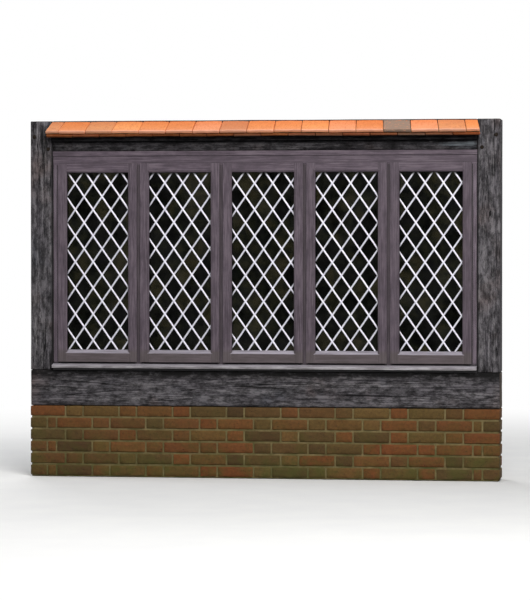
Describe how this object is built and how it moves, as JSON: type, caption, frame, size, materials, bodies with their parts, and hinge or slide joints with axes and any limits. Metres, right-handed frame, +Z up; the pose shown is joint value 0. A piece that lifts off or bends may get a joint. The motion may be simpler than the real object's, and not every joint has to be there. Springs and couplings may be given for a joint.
{
  "type": "timber-framed window bay with leaded lights",
  "caption": "Wide timber window bay with diamond-leaded casements under a clay tile hood, set between posts on a sole plate and a brick plinth.",
  "frame": {"origin": "middle of the underside of the brick plinth, at ground level", "axes": "+X along the facade to the right as seen from outside, +Y into the building, +Z up; the outside faces -Y"},
  "size_m": [2.975, 0.335, 2.25],
  "materials": {
    "brick": "matt fired clay facing bricks in mortar",
    "dark_timber": "rough-sawn, dark stained and weathered",
    "frame_timber": "planed, brown-grey stain, satin",
    "clay_tile": "matt sanded clay",
    "mortar": "matt",
    "glass": "clear, dark behind, polished",
    "lead": "dull grey lead, lightly polished",
    "spacer_metal": "matt",
    "board_timber": "oiled, satin",
    "handle_metal": "satin black"
  },
  "bodies": {
    "root": {"brick_plinth": "brick", "sole_plate": "dark_timber", "left_post": "dark_timber", "right_post": "dark_timber", "head_beam": "dark_timber", "hood_fillet": "dark_timber", "hood_under_tiles": "clay_tile", "hood_mortar": "mortar", "hood_tiles": "clay_tile", "head_packer": "frame_timber", "frame_head": "frame_timber", "frame_sill": "frame_timber", "left_jamb": "frame_timber", "right_jamb": "frame_timber", "mullion_1": "frame_timber", "mullion_2": "frame_timber", "mullion_3": "frame_timber", "mullion_4": "frame_timber", "sash_1_stiles": "frame_timber", "sash_2_stiles": "frame_timber", "sash_3_stiles": "frame_timber", "sash_4_stiles": "frame_timber", "sash_5_stiles": "frame_timber", "sash_1_rails": "frame_timber", "sash_2_rails": "frame_timber", "sash_3_rails": "frame_timber", "sash_4_rails": "frame_timber", "sash_5_rails": "frame_timber", "glass_1": "glass", "glass_2": "glass", "glass_3": "glass", "glass_4": "glass", "glass_5": "glass", "leads_1": "lead", "leads_2": "lead", "leads_3": "lead", "leads_4": "lead", "leads_5": "lead", "spacer_bars": "spacer_metal", "glazing_beads": "frame_timber", "window_board": "board_timber", "handles": "handle_metal"}
  },
  "joints": []
}
